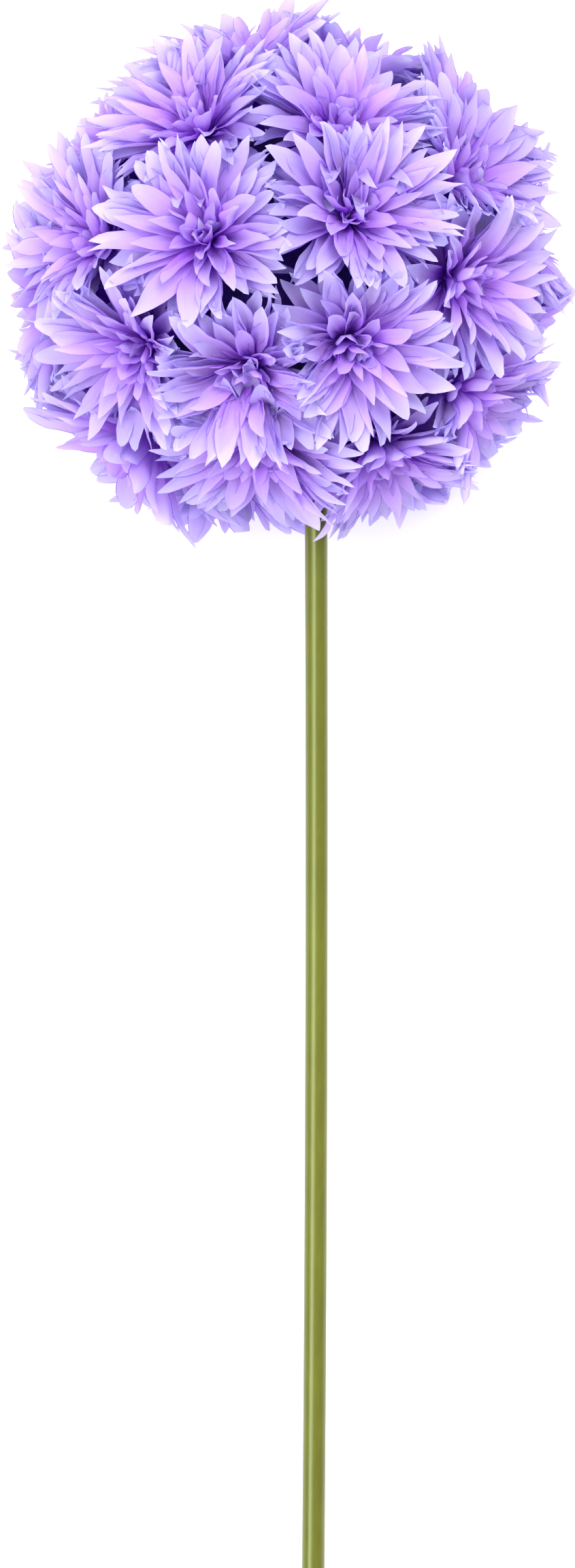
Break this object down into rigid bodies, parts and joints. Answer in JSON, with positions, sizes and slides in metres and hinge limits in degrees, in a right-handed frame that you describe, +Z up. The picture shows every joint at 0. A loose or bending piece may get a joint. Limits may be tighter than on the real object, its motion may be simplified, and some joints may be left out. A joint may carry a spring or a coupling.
{
  "type": "globe chrysanthemum flower head on its stem",
  "caption": "Ball of violet chrysanthemum-like blooms with pointed petals round a dark core, on a smooth straight green stem, lying on its side.",
  "frame": {"origin": "on the surface that the flower lies on, below the middle of its bounding box", "axes": "+Z up, +Y towards the flower head, along the stem as seen from above, and the stem's cut end towards -Y; the side that the picture shows looks up, its right towards +X"},
  "size_m": [0.2032, 0.5494, 0.1925],
  "materials": {
    "petals": "matte, violet petals",
    "core": "matte, near black",
    "stem": "satin, yellow-green"
  },
  "bodies": {
    "root": {"bloom_01": "petals", "bloom_02": "petals", "bloom_03": "petals", "bloom_04": "petals", "bloom_05": "petals", "bloom_06": "petals", "bloom_07": "petals", "bloom_08": "petals", "bloom_09": "petals", "bloom_10": "petals", "bloom_11": "petals", "bloom_12": "petals", "bloom_13": "petals", "bloom_14": "petals", "bloom_15": "petals", "bloom_16": "petals", "bloom_17": "petals", "bloom_18": "petals", "bloom_19": "petals", "bloom_20": "petals", "bloom_21": "petals", "bloom_22": "petals", "bloom_23": "petals", "bloom_24": "petals", "bloom_25": "petals", "bloom_26": "petals", "bloom_27": "petals", "bloom_28": "petals", "bloom_29": "petals", "bloom_30": "petals", "bloom_31": "petals", "bloom_32": "petals", "bloom_33": "petals", "core": "core", "stem": "stem"}
  },
  "joints": []
}
